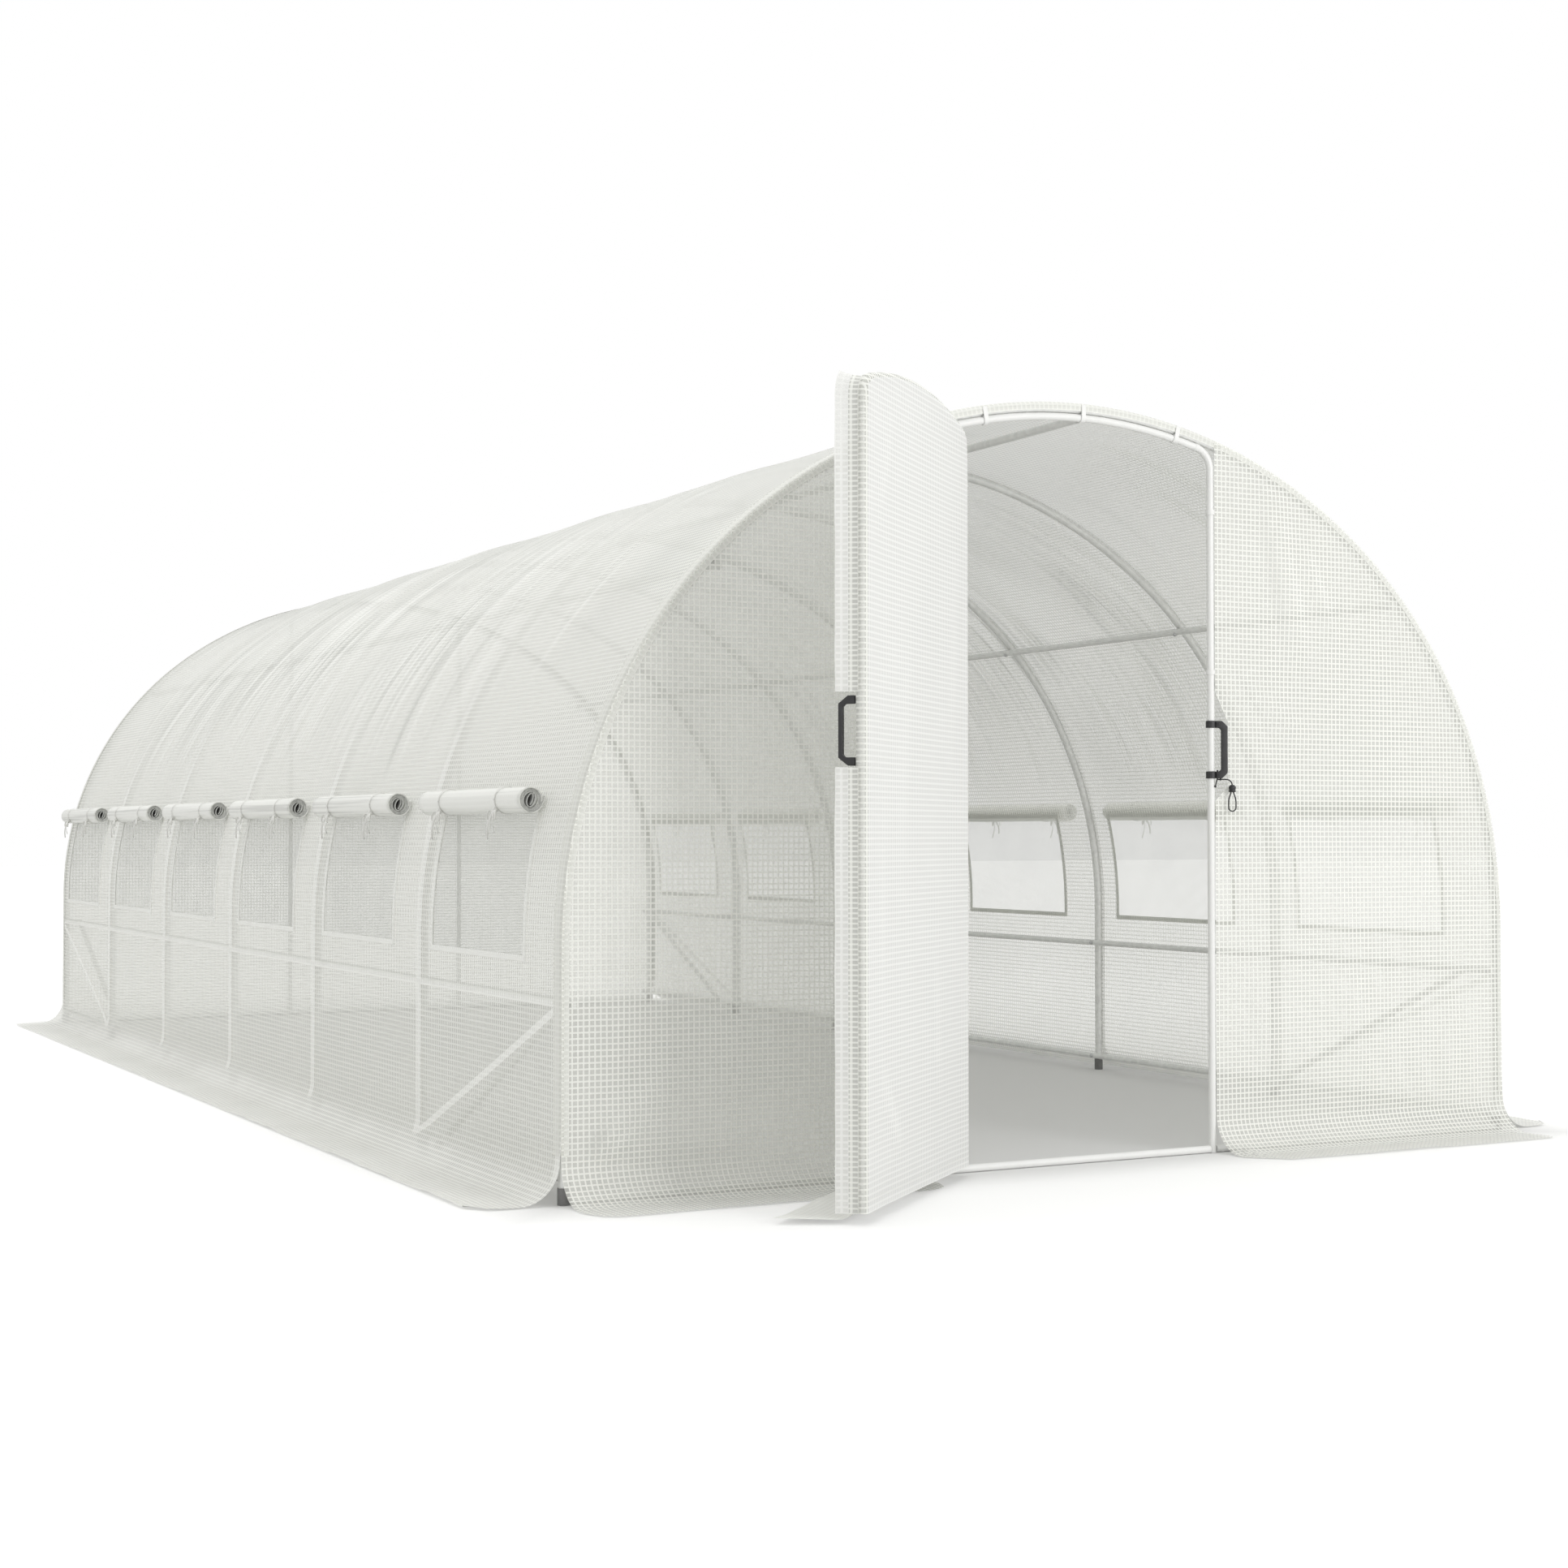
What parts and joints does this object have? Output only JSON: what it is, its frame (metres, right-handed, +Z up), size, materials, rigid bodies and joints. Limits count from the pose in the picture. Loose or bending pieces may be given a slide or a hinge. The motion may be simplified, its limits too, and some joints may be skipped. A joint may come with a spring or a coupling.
{
  "type": "polytunnel greenhouse",
  "caption": "Walk-in arched tunnel greenhouse: tube hoops and rails under a translucent woven film cover, rolled-up side windows and a hinged film door at one end.",
  "frame": {"origin": "on the ground at the middle of the doorway, on the outer face of the front film", "axes": "+X to the right seen from the front, +Y from the doorway back along the tunnel, +Z up"},
  "size_m": [3.43, 6.7923, 2.0198],
  "materials": {
    "galvanised_tube": "dull galvanised",
    "white_tube": "white powder coat",
    "white_plastic": "matte",
    "woven_film": "translucent woven grid",
    "mesh_screen": "fine mesh",
    "rolled_film": "satin",
    "tie_webbing": "woven tape",
    "hinge_steel": "zinc plated",
    "black_plastic": "satin moulded",
    "black_cord": "braided elastic"
  },
  "bodies": {
    "tunnel": {"front_hoop": "galvanised_tube", "hoop_2": "galvanised_tube", "hoop_3": "galvanised_tube", "hoop_4": "galvanised_tube", "hoop_5": "galvanised_tube", "hoop_6": "galvanised_tube", "rear_hoop": "galvanised_tube", "hoop_feet": "black_plastic", "ridge_purlin": "galvanised_tube", "left_shoulder_purlin": "galvanised_tube", "right_shoulder_purlin": "galvanised_tube", "left_waist_rail": "galvanised_tube", "right_waist_rail": "galvanised_tube", "left_base_rail": "galvanised_tube", "right_base_rail": "galvanised_tube", "front_base_rails": "galvanised_tube", "door_sill": "white_tube", "rear_base_rail": "galvanised_tube", "corner_braces": "galvanised_tube", "door_surround": "white_tube", "surround_clips": "white_plastic", "rear_posts": "galvanised_tube", "left_wall_cover": "woven_film", "right_wall_cover": "woven_film", "roof_cover": "woven_film", "front_left_wall": "woven_film", "front_right_wall": "woven_film", "rear_wall": "woven_film", "left_window_screens": "mesh_screen", "right_window_screens": "mesh_screen", "left_window_rolls": "rolled_film", "right_window_rolls": "rolled_film", "left_roll_ties": "tie_webbing", "right_roll_ties": "tie_webbing", "jamb_hinges": "hinge_steel", "jamb_handle": "black_plastic", "closing_cord": "black_cord", "cord_toggle": "black_plastic"},
    "door": {"door_frame": "galvanised_tube", "door_cover": "woven_film", "door_edge_flap": "woven_film", "door_skirt": "woven_film", "door_handle": "black_plastic", "door_hinges": "hinge_steel"}
  },
  "joints": [
    {"name": "door_hinge", "type": "hinge", "parent": "tunnel", "child": "door", "pos_m": [-0.413, -0.009, 0.95], "axis": [0, 0, -1], "range_deg": [-139, 8]}
  ]
}
